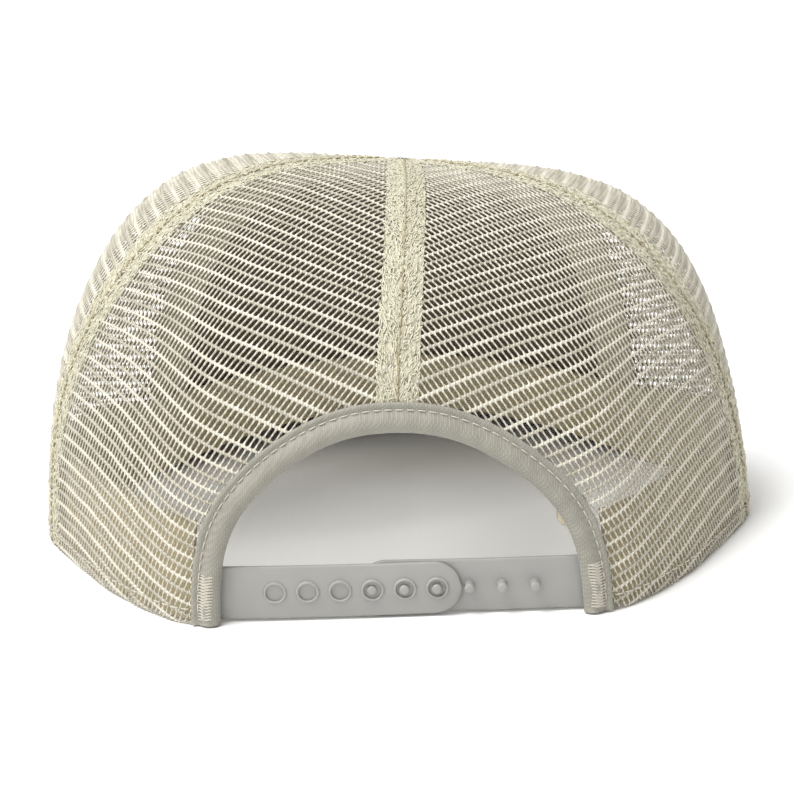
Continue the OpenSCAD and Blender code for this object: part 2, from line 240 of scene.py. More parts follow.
def woven(name, dark, light, pitch, depth, rough, sheen, diagonal=True):
    """Cloth of two shades with a thread relief, at a thread pitch in millimetres."""
    finish, shader = surface(name, Roughness=rough, Sheen_Weight=sheen, Sheen_Roughness=0.4,
                             Specular_IOR_Level=0.25)
    place = add(finish, "TexCoord").outputs["Object"]
    ribs = add(finish, "TexWave", {"Vector": place, "Scale": 2 * math.pi / (pitch * 0.001) / 20,
                                   "Distortion": 0.6, "Detail": 1.0, "Detail Scale": 2.0},
               wave_type="BANDS", bands_direction="DIAGONAL" if diagonal else "Z")
    cross = add(finish, "TexWave", {"Vector": place, "Scale": 2 * math.pi / (pitch * 0.0009) / 20,
                                    "Distortion": 0.8, "Detail": 1.0, "Detail Scale": 2.0},
                wave_type="BANDS", bands_direction="X")
    threads = add(finish, "Math", {0: ribs.outputs[1], 1: cross.outputs[1]},
                  operation="MULTIPLY").outputs[0]
    cloud = add(finish, "TexNoise", {"Vector": place, "Scale": 90.0, "Detail": 4.0,
                                     "Roughness": 0.65}).outputs[0]
    fleck = add(finish, "TexNoise", {"Vector": place, "Scale": 1500.0, "Detail": 2.0}).outputs[0]
    tone = add(finish, "Math", {0: threads, 1: 0.45, 2: -0.12}, operation="MULTIPLY_ADD").outputs[0]
    tone = add(finish, "Math", {0: cloud, 1: 0.6, 2: tone}, operation="MULTIPLY_ADD").outputs[0]
    tone = add(finish, "Math", {0: fleck, 1: 0.35, 2: tone}, operation="MULTIPLY_ADD").outputs[0]
    mix = add(finish, "Mix", {0: tone, 6: linear(dark), 7: linear(light)}, data_type="RGBA")
    relief = add(finish, "Bump", {"Strength": 0.6, "Distance": depth * 0.001, "Height": threads})
    finish.node_tree.links.new(mix.outputs[2], shader.inputs["Base Color"])
    finish.node_tree.links.new(relief.outputs[0], shader.inputs["Normal"])
    return finish


# Brushed cotton twill, piece dyed brown: dull, a little fuzzy, with fine diagonal ribs.
# The ribs are 1.1 mm apart, about twice the real spacing, so that they show.
brown_twill = woven("brushed_cotton_twill", "#2F251C", "#57463A", 1.1, 0.12, 0.9, 0.35)
# Polyurethane foam with a knitted nylon back, dyed with the twill: fine loops, quite matt.
knit_back = woven("knit_backed_foam", "#4E463B", "#786E60", 0.9, 0.15, 0.85, 0.2, diagonal=False)

REAR_SEAM, FRONT_SEAM = 65.0, 113.0
COVER_T, FOAM_T, MESH_T, GAP = 0.8, 2.6, 1.0, 0.2
FOAM_IN = COVER_T + GAP + FOAM_T
front_a = np.linspace(FRONT_SEAM + 0.1, 360 - FRONT_SEAM - 0.1, 91)[:, None]
front_h = np.concatenate([np.linspace(0, 60, 41), np.linspace(62, NEAR_TOP, 15)])[None, :]
cover = piece("front_twill", *slab(crown(front_a, front_h, 0.3), crown(front_a, front_h, -COVER_T)),
              brown_twill)
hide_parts("front_panel_cover")
crown(front_a, front_h, 0.3)
foam = piece("front_foam", *slab(crown(front_a, front_h, -COVER_T - 0.1),
                                 crown(front_a, front_h, -FOAM_IN)), knit_back)
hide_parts("front_panel_foam")

# ---- Mesh panels ----------------------------------------------------------------------------
# Four panels of warp-knitted polyester net, two at the rear and two at the sides. The net is cut
# from flat cloth: its rows of holes run across each panel and meet in a V at the centre seam.
# Courses are 3.25 mm apart and holes 1.75 mm apart, in a brick pattern.
HOLE_PITCH, COURSE = 1.75, 3.25
# Half of a hole's width and height. The side panels' holes are drawn smaller than the rear ones.
HOLE_W, HOLE_H = 0.57, 1.27
SIDE_HOLE_W, SIDE_HOLE_H = HOLE_W - 0.2, HOLE_H - 0.3
# The panels are worked out on a grid of this many points, round and up.
GRID_A, GRID_H = 61, 180
ARCH_W, ARCH_H = 50.0, 53.3


def arch(s, t):
    """Angles (round, up) of the edge of the rear opening grown by s, t degrees round it."""
    t = np.asarray(t, float)
    # Fuller than an ellipse near its feet, and close to one at the top
    power = 2 / (2.2 + 0.5 * np.exp(-((80 - np.abs(t - 90)) / 30) ** 2))
    c, n = np.cos(np.radians(t)), np.sin(np.radians(t))
    return (turn_of(ARCH_W + s) * np.sign(c) * np.abs(c) ** power,
            up_of(ARCH_H + s) * np.abs(n) ** power)


def past_arch(a, h):
    """How far out a point lies from the rear opening's middle: 1 on the net's cut edge."""
    edge_a, edge_h = arch(2.0, np.linspace(0, 90, 91))
    ra, rh = edge_a[0], edge_h[-1]
    way = np.arctan2(h / rh, np.maximum(a, 0) / ra)
    table = np.arctan2(edge_h / rh, edge_a / ra)
    return np.hypot(a / ra, h / rh) / np.interp(way, table, np.hypot(edge_a / ra, edge_h / rh))


def net_panel(name, a0, a1, grain, mirror, finish, opening=False):
    """Net between two seams; grain is the angle round at which its columns run straight down."""
    ta, th = np.linspace(a0, a1, GRID_A), np.linspace(0, NEAR_TOP, GRID_H)
    grid = block(ta[:, None], th[None, :])
    step = np.linalg.norm(np.diff(grid, axis=1), axis=2)
    run = np.concatenate([np.zeros((GRID_A, 1)), np.cumsum(step, axis=1)], axis=1)
    down = run[:, -1:] - run
    across = np.linalg.norm(np.diff(grid, axis=0), axis=2)
    wide = np.concatenate([np.zeros((1, GRID_H)), np.cumsum(across, axis=0)], axis=0)
    # u is the way across from the grain line and s the way down from the top, both on the cloth
    u = wide - np.array([np.interp(grain, ta, wide[:, j]) for j in range(GRID_H)])
    s = down.mean(0, keepdims=True)
    # The panel is laid flat row by row: cone is how far a row curves, and slope is its tilt
    cone = 1 - (0.95 * smooth((s - 40) / 100) if opening else 0.6 * np.clip((s - 30) / 120, 0, 1))
    cone = np.where((u > 0) & opening, np.maximum(cone, 0.7), cone)
    slope = -math.radians(16) * smooth((s - 85) / 60) if opening else 0 * s
    gap_s = np.diff(s, axis=1, append=s[:, -1:])
    shift = np.cumsum(np.sin(slope) * gap_s, axis=1)
    fall = s[:, :1] + np.cumsum(np.cos(slope) * gap_s, axis=1) - np.cos(slope) * gap_s
    curve = np.maximum(cone, 0.02) * math.radians(a1 - a0) / np.maximum(wide[-1:], 0.5)
    flat_x = shift + (np.sin(curve * u + slope) - np.sin(slope)) / curve
    flat_y = fall + (np.cos(curve * u + slope) - np.cos(slope)) / curve

    def at(table, a, h):
        """Value of a table at any angles of the panel."""
        i = np.clip((a - a0) / (a1 - a0) * (GRID_A - 1), 0, GRID_A - 1.001)
        j = np.clip(h / NEAR_TOP * (GRID_H - 1), 0, GRID_H - 1.001)
        i0, j0 = i.astype(int), j.astype(int)
        fi, fj = i - i0, j - j0
        return (table[i0, j0] * (1 - fi) * (1 - fj) + table[i0 + 1, j0] * fi * (1 - fj)
                + table[i0, j0 + 1] * (1 - fi) * fj + table[i0 + 1, j0 + 1] * fi * fj)

    def locate(x, y):
        """Angles on the cap of points of the flat net, and how far each is from its place."""
        sub = np.stack([flat_x[::3, ::5].ravel(), flat_y[::3, ::5].ravel()], -1)
        sa, sh = np.meshgrid(ta[::3], th[::5], indexing="ij")
        a, h = np.empty(len(x)), np.empty(len(x))
        for k in range(0, len(x), 4000):
            part = slice(k, k + 4000)
            near = ((x[part, None] - sub[:, 0]) ** 2 + (y[part, None] - sub[:, 1]) ** 2).argmin(1)
            a[part], h[part] = sa.ravel()[near], sh.ravel()[near]
        for _ in range(12):
            ex, ey = x - at(flat_x, a, h), y - at(flat_y, a, h)
            da, dh = np.where(a + 0.5 > a1, -0.5, 0.5), np.where(h + 0.5 > NEAR_TOP, -0.5, 0.5)
            xa, ya = ((at(table, a + da, h) - at(table, a, h)) / da for table in (flat_x, flat_y))
            xh, yh = ((at(table, a, h + dh) - at(table, a, h)) / dh for table in (flat_x, flat_y))
            det = xa * yh - xh * ya
            det = np.where(np.abs(det) < 1e-4, 1e-4, det)
            a = np.clip(a + np.clip((ex * yh - ey * xh) / det, -4, 4), a0, a1)
            h = np.clip(h + np.clip((ey * xa - ex * ya) / det, -4, 4), 0, NEAR_TOP)
        far = np.hypot(x - at(flat_x, a, h), y - at(flat_y, a, h))
        return a, h, far

    rows = np.arange(math.floor(flat_y.min() / COURSE) - 1, math.ceil(flat_y.max() / COURSE) + 2)
    cols = np.arange(math.floor(flat_x.min() / HOLE_PITCH) - 1,
                     math.ceil(flat_x.max() / HOLE_PITCH) + 2)
    cr, cc = np.meshgrid(rows, cols, indexing="ij")
    cx, cy = ((cc + 0.5 * (cr % 2)) * HOLE_PITCH).ravel(), (cr * COURSE).ravel()
    ca, ch, far = locate(cx, cy)
    keep = far < 1.6
    if opening:
        keep &= past_arch(ca, ch) > 0.995
    cx, cy = cx[keep], cy[keep]
    w, c = HOLE_PITCH / 2, COURSE / 2
    # Half the outline of one brick and of its hole; the other half is the same turned round
    brick = np.array([[0, c], [w / 2, c], [w, c], [w, c / 2], [w, 0], [w, -c / 2], [w, -c],
                      [w / 2, -c]])
    hole = np.array([[0, 1.0], [0.5, 0.97], [0.82, 0.88], [1, 0.5], [1, 0], [1, -0.5],
                     [0.82, -0.88], [0.5, -0.97]])
    brick, hole = np.concatenate([brick, -brick]), np.concatenate([hole, -hole])
    hole = hole * ([HOLE_W, HOLE_H] if opening else [SIDE_HOLE_W, SIDE_HOLE_H])
    hole[:, 0] += 0.2 * np.sin(hole[:, 1] / HOLE_H * 1.5)
    mid = brick * 0.5 + hole * 0.5
    # How far the yarn stands up round the brick: a bead at one corner, and a dip at the next
    knot = np.tile([0.75, 1.6, 0.8, 0.75, 0.7, 0.75, 0.8, 0.45], 2) * (0.85 if opening else 0.8)
    rings = [(brick, 0.5 * knot), (mid, 0.42 * knot), (hole, 0 * knot)]
    n = len(cx)
    fx = np.stack([cx[:, None] + ring[:, 0] for ring, _ in rings], 1)
    fy = np.stack([cy[:, None] + ring[:, 1] for ring, _ in rings], 1)
    lift = np.stack([np.broadcast_to(z, (n, 16)) for _, z in rings], 1)
    key = np.stack([np.round(fx.ravel() * 200), np.round(fy.ravel() * 200)], -1).astype(int)
    _, first, index = np.unique(key, axis=0, return_index=True, return_inverse=True)
    index = index.reshape(n, 3, 16)
    x, y, z = fx.ravel()[first], fy.ravel()[first], lift.ravel()[first]
    a, h, _ = locate(x, y)
    if opening:
        grow = 1 / np.clip(past_arch(a, h), 0.5, 1)
        a, h = a * grow, h * grow
    count = len(x)
    sway = 0.12 * np.sin(x * 0.31 + y * 0.11) * np.sin(y * 0.23 - x * 0.07)
    core = -MESH_T / 2 + 0.1 + sway
    side = -1 if mirror else 1
    points = np.concatenate([crown(side * a, h, core + z), crown(side * a, h, core - 0.55 * z)])
    flat = np.tile(np.stack([x / HOLE_PITCH, y / COURSE], -1), (2, 1))
    other = np.arange(count) + np.where(z < 1e-6, 0, count)
    made = []
    high = cy < np.median(cy)
    parts = [("upper", high), ("lower", ~high)] if opening else [("net", np.full(n, True))]
    for suffix, chosen in parts:
        faces = []
        for r in range(2):
            for k in range(16):
                corners = [(r, k), (r, (k + 1) % 16), (r + 1, (k + 1) % 16), (r + 1, k)]
                corners = [index[chosen, i, j] for i, j in (corners[::-1] if mirror else corners)]
                faces.append(np.stack(corners, -1))
                faces.append(np.stack([other[v] for v in corners[::-1]], -1))
        faces = np.concatenate(faces)
        size = np.linalg.norm(np.cross(points[faces[:, 2]] - points[faces[:, 0]],
                                       points[faces[:, 3]] - points[faces[:, 1]]), axis=1)
        # Faces that the panel's edge has pressed to nothing are left out
        used, packed = np.unique(faces[size >= 0.004], return_inverse=True)
        net = piece(name + "_" + suffix, points[used], packed.reshape(-1, 4), finish, flat=flat[used])
        made.append(net)
    return made


# Polyester net, knitted and heat set: glossy and pale, cloudy in tone, and a little lighter on
# every second course. The twist of the yarns is a fine relief laid on the flat pattern.
net_yarn, net_shader = surface("knitted_polyester_net", Roughness=0.33, Specular_IOR_Level=0.6,
                               Sheen_Weight=0.1, Subsurface_Weight=0.0)
flat_place = add(net_yarn, "UVMap", uv_map="flat").outputs[0]
split = add(net_yarn, "SeparateXYZ", {0: flat_place})
course = add(net_yarn, "Math", {0: split.outputs[1], 1: math.pi}, operation="MULTIPLY").outputs[0]
course = add(net_yarn, "Math", {0: course}, operation="SINE").outputs[0]
twist = add(net_yarn, "TexWave", {"Vector": flat_place, "Scale": 1.2, "Distortion": 2.0, "Detail": 2.0},
            bands_direction="DIAGONAL").outputs[1]
cloud = add(net_yarn, "TexNoise", {"Vector": flat_place, "Scale": 0.35, "Detail": 5.0}).outputs[0]
tone = add(net_yarn, "Math", {0: course, 1: 0.18, 2: 0.1}, operation="MULTIPLY_ADD").outputs[0]
tone = add(net_yarn, "Math", {0: cloud, 1: 0.6, 2: tone}, operation="MULTIPLY_ADD").outputs[0]
tone = add(net_yarn, "Math", {0: twist, 1: 0.35, 2: tone}, operation="MULTIPLY_ADD").outputs[0]
tint = add(net_yarn, "Mix", {0: tone, 6: linear("#857E6B"), 7: linear("#D6D1C2")}, data_type="RGBA")
relief = add(net_yarn, "Bump", {"Strength": 0.5, "Distance": 0.0002, "Height": twist})
net_yarn.node_tree.links.new(tint.outputs[2], net_shader.inputs["Base Color"])
net_yarn.node_tree.links.new(relief.outputs[0], net_shader.inputs["Normal"])

NETS = [("rear_net_left", "rear_mesh_left", 0.0, REAR_SEAM, 43.0, False, True),
        ("rear_net_right", "rear_mesh_right", 0.0, REAR_SEAM, 43.0, True, True),
        ("side_net_left", "side_mesh_left", REAR_SEAM, FRONT_SEAM, 89.0, False, False),
        ("side_net_right", "side_mesh_right", REAR_SEAM, FRONT_SEAM, 89.0, True, False)]
for name, node, a0, a1, grain, mirror, opening in NETS:
    for net in net_panel(name, a0, a1, grain, mirror, net_yarn, opening):
        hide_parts(node)

# ---- Seam tapes -------------------------------------------------------------------------------
# Where two panels meet, their edges are turned in and caught under a 12 mm cotton tape. The
# net's turned edges lie crumpled on the rear tapes, as short loose yarns that hide their weave.
TAPE_W, TAPE_T = 12.0, 0.5
# A tape and the turned edges under it are this much thicker than the tape.
TURNED_EDGE = 0.6
# Unbleached cotton twill tape: dull and cream, with ribs drawn 1.5 mm apart so that they show.
tape_twill = woven("cotton_twill_tape", "#938D77", "#CFCBB6", 1.5, 0.5, 0.6, 0.2)


def beside(a, h, off, least):
    """Angle of the point off millimetres round from angle a; least keeps it steady at the top."""
    p = block(a, h)
    return a + off / np.maximum(np.hypot(p[..., 0], p[..., 1] - APEX_Y), least) * 180 / math.pi


def seam_strip(a, h0, h1, half, inward, thick, rough=0.0, seed=1):
    """Two grids of a strip along the seam at angle a, whose outer face is crumpled by rough."""
    h = np.linspace(h0, h1, 170)[None, :]
    k = np.linspace(-1, 1, 15)[:, None]
    at = beside(a, h, k * half, 4)
    crumple = np.random.default_rng(seed).normal(0, rough, at.shape) if rough else 0
    return crown(at, h, -inward + crumple), crown(at, h, -(inward + thick))


# Each seam's tape, its angle, where it starts and ends up the profile, and its depth inside.
SEAMS = [("centre_back_tape", 0, up_of(ARCH_H + 5), 88, 0.15),
         ("rear_seam_tape_left", REAR_SEAM, 0, 86, 0.15),
         ("rear_seam_tape_right", -REAR_SEAM, 0, 86, 0.15),
         ("front_seam_tape_left", FRONT_SEAM, 0, 82, FOAM_IN + 0.4),
         ("front_seam_tape_right", -FRONT_SEAM, 0, 82, FOAM_IN + 0.4)]
for number, (node, a, h0, h1, inward) in enumerate(SEAMS):
    crumpled = 0.3 if inward < 2 else 0.0
    strip = seam_strip(a, h0, h1, TAPE_W / 2, inward, TAPE_T + TURNED_EDGE, crumpled, number)
    tape = piece(node + "_strip", *slab(*strip), tape_twill)
    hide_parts(node)
    seam_strip(a, h0, h1, TAPE_W / 2, inward, TAPE_T)[0]


def tube_ends(rows, around):
    """The two faces that close a tube of so many rows, with so many points around it."""
    return [list(range(around))[::-1], list(range((rows - 1) * around, rows * around))]


def stitches(path, out, long, space, thick):
    """Points and faces of a row of thread dashes on a path; out is the way off the cloth."""
    path, out = np.asarray(path, float), np.asarray(out, float)
    run = np.concatenate([[0], np.cumsum(np.linalg.norm(np.diff(path, axis=0), axis=1))])
    starts = np.arange(space / 2, run[-1] - long, long + space)
    part = np.array([0, 0.2, 0.8, 1.0])
    where = (starts[:, None] + long * part).ravel()
    p = np.stack([np.interp(where, run, path[:, k]) for k in range(3)], -1).reshape(-1, 4, 3)
    n = np.stack([np.interp(where, run, out[:, k]) for k in range(3)], -1).reshape(-1, 4, 3)
    n /= np.linalg.norm(n, axis=-1, keepdims=True)
    along = p[:, -1:] - p[:, :1]
    side = np.cross(along, n)
    side /= np.maximum(np.linalg.norm(side, axis=-1, keepdims=True), 1e-9)
    p = p + n * (np.array([-0.7, 0.35, 0.35, -0.7]) * thick)[None, :, None]
    turns = np.radians(np.arange(0, 360, 60))
    ring = (side[:, :, None] * np.cos(turns)[:, None]
            + n[:, :, None] * 0.8 * np.sin(turns)[:, None]) * thick / 2
    points = (p[:, :, None] + ring).reshape(-1, 3)
    one = quads(4, 6, closed=True).tolist() + tube_ends(4, 6)
    return points, [[v + 24 * i for v in f] for i in range(len(starts)) for f in one]


def joined(parts):
    """Several sets of points and faces as one."""
    points, faces, base = [], [], 0
    for p, f in parts:
        points.append(p)
        faces += [[v + base for v in g] for g in f]
        base += len(p)
    return np.concatenate(points), faces


def away(a, h, out):
    """Path on the crown and the way out of it."""
    return crown(a, h, out), crown(a, h, out + 1) - crown(a, h, out)


# Spun polyester sewing thread, undyed: smooth with a soft shine.
pale_thread, _ = surface("pale_polyester_thread", Base_Color=linear("#B9B4A6"), Roughness=0.5,
                         Sheen_Weight=0.2)
# The same net yarn where it is crumpled at the seams; yellowed a little, and glossy.
seam_yarn, _ = surface("crumpled_net_yarn", Base_Color=linear("#C6C2AC"), Roughness=0.3,
                       Specular_IOR_Level=0.6)
# Brownish, matt cotton thread, darker than the tape it is sewn in: painted shade of the seam crease.
crease_shade_thread, _ = surface("thread_painted_crease_shade", Base_Color=linear("#A3977A"), Roughness=0.8)
# Loose yarns on each rear tape, and half of a yarn's thickness.
LOOSE_YARNS, YARN_R = 2600, 0.2
for node, a, h0, h1, inward in SEAMS[:3]:
    random = np.random.default_rng(int(abs(a)) + 7)
    h = h0 + (h1 - h0) * random.random(LOOSE_YARNS) ** 0.9
    off = random.uniform(-1, 1, LOOSE_YARNS) * TAPE_W * 0.5
    lie = random.normal(0, 0.55, LOOSE_YARNS) + np.sign(off) * 0.5
    long = random.uniform(0.9, 2.0, LOOSE_YARNS)
    rows = []
    for k in (-0.5, 0.5):
        at = beside(a, h, off + k * long * np.sin(lie), 6)
        up = np.clip(h + k * long * np.cos(lie) * 0.62, 0, 89)
        rows.append(crown(at, up, random.uniform(-0.35, 0.35, LOOSE_YARNS)))
    start, end = rows
    n = facing(a, h)
    along = end - start
    side = np.cross(along, n)
    side /= np.linalg.norm(side, axis=1, keepdims=True)
    turns = np.radians(np.arange(0, 360, 72))
    ring = (side[:, None] * np.cos(turns)[:, None] + n[:, None] * np.sin(turns)[:, None]) * YARN_R
    points = np.concatenate([start[:, None] + ring * 0.4, start[:, None] + along[:, None] * 0.2 + ring,
                             start[:, None] + along[:, None] * 0.8 + ring, end[:, None] + ring * 0.4], 1)
    one = quads(4, 5, closed=True).tolist() + tube_ends(4, 5)
    faces = [[v + 20 * i for v in f] for i in range(LOOSE_YARNS) for f in one]
    crumple = piece(node + "_net_edges", points.reshape(-1, 3), faces, seam_yarn)
    h = np.linspace(h0, h1, 200)
    # A near-solid line of dark stitches down the middle of the seam: painted shade of its crease.
    line = piece(node + "_seam_thread", *stitches(*away(a, h, 0.3), 2.2, 0.5, 0.5), crease_shade_thread)

# ---- Arch binding -----------------------------------------------------------------------------
# A strip of satin-faced cotton tape folded round the edge of the rear opening and sewn through:
# its outer edge is turned under to a thin lip, and the fold puffs up beside the line of stitches.
BIND_W = 8.0
# Satin twill tape: close diagonal ribs 0.7 mm apart and a dull sheen along the fold.
satin_tape = woven("satin_twill_binding", "#76736A", "#9E9B90", 0.7, 0.1, 0.5, 0.3)
# The folded tape in section, as (away from the opening, out of the crown): the lip, the dip at
# the stitches, the puffed fold, then its inner face and back along the net.
profile = np.array([[8.1, 0.1], [8.15, 0.7], [7.9, 1.1], [7.4, 1.2], [6.9, 1.0], [6.5, 0.72],
                    [6.1, 0.62], [5.6, 0.72], [5.1, 1.05], [4.4, 1.5], [3.5, 1.85], [2.6, 1.9],
                    [1.7, 1.65], [0.9, 1.1], [0.3, 0.4], [0.05, -0.4], [0.25, -1.2], [0.9, -1.8],
                    [2.0, -2.1], [4.0, -2.15], [6.0, -2.0], [7.6, -1.9], [8.0, -1.6], [7.6, -1.3],
                    [5.0, -1.3], [2.2, -1.2], [2.0, -0.5], [2.2, 0.1], [5.0, 0.1]])
turn = np.concatenate([np.linspace(180, 150, 60)[:-1], np.linspace(150, 30, 140),
                       np.linspace(30, 0, 60)[1:]])
loops = []
for s, out in profile:
    a, h = arch(s, turn)
    at_stitches = 0.08 * np.sin(np.arange(len(turn)) * 1.3) * (4.5 < s < 7.5)
    pucker = at_stitches + 0.12 * np.sin(turn * 0.9) * (0.5 < s < 5)
    loops.append(crown(a, h, out + (pucker if out > 0 else 0)))
loops = np.stack(loops, 1)
count, around = loops.shape[:2]
ends = [end[::-1] for end in tube_ends(count, around)]
binding = piece("arch_binding_tape", loops.reshape(-1, 3),
                list(quads(count, around, closed=True)) + ends, satin_tape)
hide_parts("arch_binding")
# The strip laid flat is the section's first 19 points, over the fold to its inner face
fine = np.linspace(179, 1, 500)
bound = piece("binding_stitching", *stitches(*away(*arch(6.1, fine), 0.78), 2.3, 0.8, 0.36),
              pale_thread)


def on_leg(side, s, z):
    """Angles of the point of a binding's leg s from the opening at height z."""
    h = up_of(z)
    turns = np.linspace(0, 60, 121)
    legs = [arch(grown, turns) for grown in np.ravel(s)]
    a = [np.interp(level, leg[1], leg[0]) for level, leg in zip(np.ravel(h), legs)]
    return side * np.array(a), h


# Each strap root is tacked through the binding with thread laid to and fro up its leg.
for side, node in ((1, "strap_tack_left"), (-1, "strap_tack_right")):
    z = np.arange(1.6, 14, 0.42)
    passes = []
    for k, level in enumerate(z):
        s = np.linspace(1.6, 6.4, 8) if k % 2 else np.linspace(6.4, 1.6, 8)
        lean = np.linspace(0, 0.42, 8)
        a, h = on_leg(side, s, level + lean)
        high = np.interp(s, profile[4:14, 0][::-1], profile[4:14, 1][::-1]) + 0.05
        passes.append(stitches(*away(a, h, high), 4.5, 0.1, 0.4))
    tack = piece(node + "_thread", *joined(passes), pale_thread)
    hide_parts(node)

# ---- Sweatband --------------------------------------------------------------------------------
# A band of brushed cotton round the inside of the rim, 28 mm high, turned over at its top edge
# and sewn to the rim; a strip of fleece pads it over the forehead.
BAND_H, BAND_T, PAD_T = 28.0, 0.9, 1.2
# The band's depth inside the block, past the layers that it is sewn over.
LAYER_GAP = 0.45
SIDE_BAND_IN = MESH_T + LAYER_GAP + TAPE_T + LAYER_GAP
FRONT_BAND_IN = FOAM_IN + LAYER_GAP + PAD_T + GAP
# Brushed cotton: a warm beige, dull and soft, with a fine cross rib.
brushed_cotton = woven("brushed_cotton_band", "#A89A78", "#CFC4A6", 0.8, 0.12, 0.9, 0.4,
                       diagonal=False)
band_a0 = float(turn_of(ARCH_W + BIND_W)) + 0.3
band_a = np.linspace(band_a0, 360 - band_a0, 241)[:, None]
band_v = np.linspace(0, 1, 13)[None, :]
band_h = band_v * up_of(BAND_H)
band_in = SIDE_BAND_IN + (FRONT_BAND_IN - SIDE_BAND_IN) * smooth((turned(band_a) - FRONT_SEAM + 14) / 8)
puff = 0.5 * np.sin(np.pi * band_v) * (0.8 + 0.2 * np.sin(band_a * 0.9))
hem = 0.35 * (np.abs(band_v - 0.95) < 0.06)
band = piece("sweatband_cloth", *slab(crown(band_a, band_h, -band_in + 0 * band_v),
                                      crown(band_a, band_h, -(band_in + BAND_T + puff + hem))),
             brushed_cotton)
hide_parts("sweatband")
crown(band_a, band_h, -band_in + 0 * band_v)
run_a = np.linspace(band_a0 + 0.5, 359.5 - band_a0, 900)
rows = []
for v in (0.1, 0.86):
    deep = np.interp(run_a, band_a[:, 0], band_in[:, 0]) + BAND_T + 0.5 * math.sin(math.pi * v) + 0.1
    face_in = crown(run_a, v * up_of(BAND_H), -deep)
    rows.append(stitches(face_in, face_in - crown(run_a, v * up_of(BAND_H), -deep + 1), 2.6, 1.0, 0.4))
band_thread = piece("sweatband_stitching", *joined(rows), pale_thread)
# Polyester fleece: white, matt and slightly fluffy.
fleece = woven("polyester_fleece", "#D9D7D0", "#F4F3EF", 1.4, 0.2, 0.95, 0.5)
pad_a = np.linspace(FRONT_SEAM + 10, 350 - FRONT_SEAM, 61)[:, None]
pad_h = np.linspace(1, up_of(BAND_H) - 1, 9)[None, :]
pad = piece("sweatband_fleece", *slab(crown(pad_a, pad_h, -(FOAM_IN + LAYER_GAP)),
                                      crown(pad_a, pad_h, -(FOAM_IN + LAYER_GAP + PAD_T))), fleece)
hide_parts("sweatband_padding")

# ---- Snap strap -------------------------------------------------------------------------------
# Two halves of moulded polyethylene, 15.5 mm high and 1.3 mm thick: one has six holes with raised
# rims and lies on top, the other has six pegs. Each is sewn behind a leg of the binding.
STRAP_H, STRAP_T, PITCH, HOLE_X0, SNAPPED, HOLE_D = 15.5, 1.3, 9.0, -10.0, 3, 5.0
# The strap's middle height, its outer face's y at the middle of the rear, and x of its roots.
STRAP_MID, STRAP_Y, STRAP_ROOT = 0.2 + STRAP_H / 2, 77.91, 53.333
# Radius of the rear rim's bow, which the strap follows.
arc = (FLAT_X ** 2 + BOW ** 2) / (2 * BOW)
# Low-density polyethylene, injection moulded: milky, soft-edged and half matt.
milky, milky_shader = surface("moulded_polyethylene", Roughness=0.42, Specular_IOR_Level=0.45, IOR=1.51,
                              Subsurface_Weight=0.25, Subsurface_Radius=(0.004, 0.004, 0.0036),
                              Subsurface_Scale=0.5)
place = add(milky, "TexCoord").outputs["Object"]
flow = add(milky, "TexNoise", {"Vector": place, "Scale": 60.0, "Detail": 3.0}).outputs[0]
scuff = add(milky, "TexNoise", {"Vector": place, "Scale": 900.0, "Detail": 2.0}).outputs[0]
tint = add(milky, "Mix", {0: flow, 6: linear("#8C8B88"), 7: linear("#9C9B97")}, data_type="RGBA")
rough = add(milky, "Math", {0: scuff, 1: 0.25, 2: 0.3}, operation="MULTIPLY_ADD").outputs[0]
relief = add(milky, "Bump", {"Strength": 0.25, "Distance": 0.0001, "Height": scuff})
milky.node_tree.links.new(tint.outputs[2], milky_shader.inputs["Base Color"])
milky.node_tree.links.new(rough, milky_shader.inputs["Roughness"])
milky.node_tree.links.new(relief.outputs[0], milky_shader.inputs["Normal"])


def strap_point(x, z, out):
    """Point of the strap x across, z up, and out millimetres outside its outer face."""
    x, z, out = np.broadcast_arrays(*(np.asarray(v, float) for v in (x, z, out)))
    turn_x = np.arcsin(x / arc)
    return np.stack([x + out * np.sin(turn_x), STRAP_Y - arc + (arc + out) * np.cos(turn_x), z], -1)


